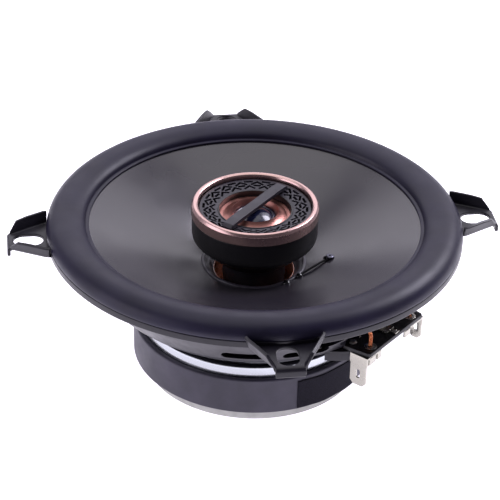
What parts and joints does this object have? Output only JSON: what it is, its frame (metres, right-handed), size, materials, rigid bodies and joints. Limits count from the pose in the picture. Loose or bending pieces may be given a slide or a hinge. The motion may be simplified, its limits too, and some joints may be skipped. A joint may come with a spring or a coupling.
{
  "type": "coaxial car speaker",
  "caption": "Round two-way coaxial car speaker: moving cone on a rubber surround, fixed centre tweeter on a post, pressed basket with slotted tabs, magnet motor and blade terminals.",
  "frame": {"origin": "centre of the back plate's rear face, which is also the bottom centre of the whole part", "axes": "+Z along the speaker's axis towards the listener; the four slotted tabs lie on +X, +Y, -X and -Y; the terminal board is at -45 degrees, between +X and -Y"},
  "size_m": [0.1708, 0.1708, 0.0646],
  "materials": {
    "basket_paint": "glossy black paint on pressed steel",
    "surround_rubber": "satin moulded rubber, bluish black",
    "spider_cloth": "resin-stiffened woven cloth",
    "plated_steel": "zinc plated",
    "ferrite": "dull sintered ferrite",
    "boot_rubber": "glossy dark grey-violet boot",
    "tape_cloth": "woven cloth tape, matt",
    "black_plastic": "fine moulded satin",
    "rose_trim": "rose-gold metallised trim",
    "copper_trim": "copper metallised trim",
    "dome_fabric": "coated dark blue soft dome",
    "nickel_magnet": "nickel plated",
    "board_laminate": "black phenolic laminate",
    "tinned_metal": "bright tin plate",
    "capacitor_sleeve": "shrink sleeve",
    "copper_braid": "braided tinsel wire",
    "wire_jacket": "soft black insulation",
    "cone_polymer": "injection-moulded cone with a soft sheen",
    "collar_glue": "cured glue lip",
    "former_film": "brown polyimide film",
    "copper_wire": "enamelled wire",
    "glue_black": "glossy black adhesive"
  },
  "bodies": {
    "chassis": {"basket": "basket_paint", "basket_rivets": "basket_paint", "surround": "surround_rubber", "spider": "spider_cloth", "top_plate": "plated_steel", "magnet": "ferrite", "t_yoke": "plated_steel", "magnet_boot": "boot_rubber", "cloth_tape": "tape_cloth", "tweeter_post": "black_plastic", "tweeter_screw": "plated_steel", "tweeter_housing": "black_plastic", "tweeter_ring": "rose_trim", "tweeter_grille": "black_plastic", "grille_bridge": "black_plastic", "tweeter_baffle": "black_plastic", "tweeter_waveguide": "copper_trim", "dome_surround": "dome_fabric", "tweeter_pole_plate": "plated_steel", "tweeter_magnet": "nickel_magnet", "tweeter_motor_cup": "plated_steel", "terminal_board": "board_laminate", "positive_terminal": "tinned_metal", "negative_terminal": "tinned_metal", "terminal_eyelets": "tinned_metal", "board_rivets": "tinned_metal", "centre_lug": "tinned_metal", "crossover_capacitor": "capacitor_sleeve", "capacitor_leads": "tinned_metal", "tinsel_lead_positive": "copper_braid", "tinsel_lead_negative": "copper_braid", "tweeter_feed_lead": "wire_jacket"},
    "moving_cone": {"cone": "cone_polymer", "neck_collar": "collar_glue", "voice_coil_former": "former_film", "voice_coil_winding": "copper_wire", "cone_eyelet": "tinned_metal", "cone_lead": "wire_jacket", "lead_glue": "glue_black"},
    "tweeter_diaphragm": {"tweeter_dome": "dome_fabric", "tweeter_coil": "copper_wire"}
  },
  "joints": [
    {"name": "cone_travel", "type": "slide", "parent": "chassis", "child": "moving_cone", "axis": [0, 0, 1], "range_m": [-0.004, 0.004], "stiffness_N_per_m": 1500, "deforming": ["surround", "spider", "tinsel_lead_positive", "tinsel_lead_negative"]},
    {"name": "dome_travel", "type": "slide", "parent": "chassis", "child": "tweeter_diaphragm", "axis": [0, 0, 1], "range_m": [-0.0003, 0.0003], "stiffness_N_per_m": 75, "deforming": ["dome_surround"]}
  ]
}
